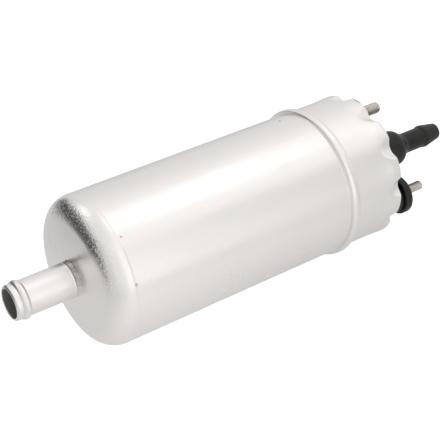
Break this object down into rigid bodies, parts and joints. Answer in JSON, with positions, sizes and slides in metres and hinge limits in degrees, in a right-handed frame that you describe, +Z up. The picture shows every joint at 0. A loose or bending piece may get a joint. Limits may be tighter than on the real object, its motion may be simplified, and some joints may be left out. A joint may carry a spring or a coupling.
{
  "type": "in-line electric fuel pump",
  "caption": "Round in-line electric fuel pump: a crimped aluminium can with a beaded inlet tube, an outlet barb and a pair of stud terminals in a moulded end cap.",
  "frame": {"origin": "on the pump's axis, in the middle of the plain land of the can between the front shoulder and the rolled bead, where the mounting clamp holds it", "axes": "+X along the pump from inlet to outlet, +Z up, -Y towards the picture's camera"},
  "size_m": [0.21, 0.0632, 0.0632],
  "materials": {
    "can_aluminium": "satin, lightly scuffed",
    "tube_metal": "bright",
    "seal_rubber": "matt",
    "pump_aluminium": "machined",
    "sintered_steel": "ground",
    "valve_steel": "polished",
    "spring_steel": "drawn wire",
    "bush_bronze": "sintered",
    "shaft_steel": "ground",
    "washer_plastic": "natural",
    "core_steel": "laminated",
    "winding_copper": "enamelled copper",
    "commutator_copper": "turned copper",
    "commutator_plastic": "moulded",
    "flux_steel": "zinc plated",
    "magnet_ferrite": "sintered ferrite",
    "cap_plastic": "glass-filled, semi-matt",
    "brush_carbon": "pressed carbon",
    "strap_brass": "stamped",
    "stud_plated": "nickel plated",
    "seat_brass": "turned",
    "poppet_plastic": "natural"
  },
  "bodies": {
    "housing": {"can": "can_aluminium", "inlet_tube": "tube_metal", "inlet_gasket": "seal_rubber", "inlet_plate": "pump_aluminium", "pump_ring": "pump_aluminium", "outlet_plate": "pump_aluminium", "plate_dowels": "shaft_steel", "relief_seat": "seat_brass", "relief_spring": "spring_steel", "front_bush": "bush_bronze", "rear_bush": "bush_bronze", "flux_tube": "flux_steel", "magnets": "magnet_ferrite", "magnet_clips": "spring_steel", "end_cap": "cap_plastic", "end_cap_seal": "seal_rubber", "outlet_fitting": "cap_plastic", "brush_spring_plus": "spring_steel", "brush_spring_minus": "spring_steel", "terminal_strap_plus": "strap_brass", "terminal_strap_minus": "strap_brass", "terminal_stud_m5": "stud_plated", "terminal_stud_m4": "stud_plated", "stud_seal_m5": "seal_rubber", "stud_seal_m4": "seal_rubber", "terminal_insulator_m5": "cap_plastic", "terminal_insulator_m4": "cap_plastic", "check_seat": "seat_brass", "check_spring": "spring_steel"},
    "rotor": {"armature_core": "core_steel", "shaft": "shaft_steel", "thrust_washer": "washer_plastic", "armature_spacer": "washer_plastic", "armature_winding": "winding_copper", "commutator_hub": "commutator_plastic", "commutator_bars": "commutator_copper", "inner_rotor": "sintered_steel"},
    "outer_rotor": {"outer_rotor": "sintered_steel"},
    "relief_valve": {"relief_ball": "valve_steel"},
    "check_valve": {"check_poppet": "poppet_plastic"},
    "brush_plus": {"brush_plus": "brush_carbon"},
    "brush_minus": {"brush_minus": "brush_carbon"}
  },
  "joints": [
    {"name": "armature_spin", "type": "hinge", "parent": "housing", "child": "rotor", "pos_m": [0, 0, 0], "axis": [1, 0, 0], "continuous": true},
    {"name": "outer_rotor_spin", "type": "hinge", "parent": "housing", "child": "outer_rotor", "pos_m": [-0.04, -0.0013, 0], "axis": [1, 0, 0], "continuous": true},
    {"name": "relief_valve_lift", "type": "slide", "parent": "housing", "child": "relief_valve", "axis": [-1, 0, 0], "range_m": [0, 0.0015], "stiffness_N_per_m": 400, "springref_m": -0.004, "deforming": ["relief_spring"]},
    {"name": "check_valve_lift", "type": "slide", "parent": "housing", "child": "check_valve", "axis": [1, 0, 0], "range_m": [0, 0.0025], "stiffness_N_per_m": 60, "springref_m": -0.003, "deforming": ["check_spring"]},
    {"name": "brush_plus_slide", "type": "slide", "parent": "housing", "child": "brush_plus", "axis": [1, 0, 0], "range_m": [0, 0.003], "stiffness_N_per_m": 150, "springref_m": -0.006, "deforming": ["brush_spring_plus"]},
    {"name": "brush_minus_slide", "type": "slide", "parent": "housing", "child": "brush_minus", "axis": [1, 0, 0], "range_m": [0, 0.003], "stiffness_N_per_m": 150, "springref_m": -0.006, "deforming": ["brush_spring_minus"]}
  ],
  "couplings": [
    {"joint": "outer_rotor_spin", "follows": "armature_spin", "ratio": 0.85714}
  ]
}
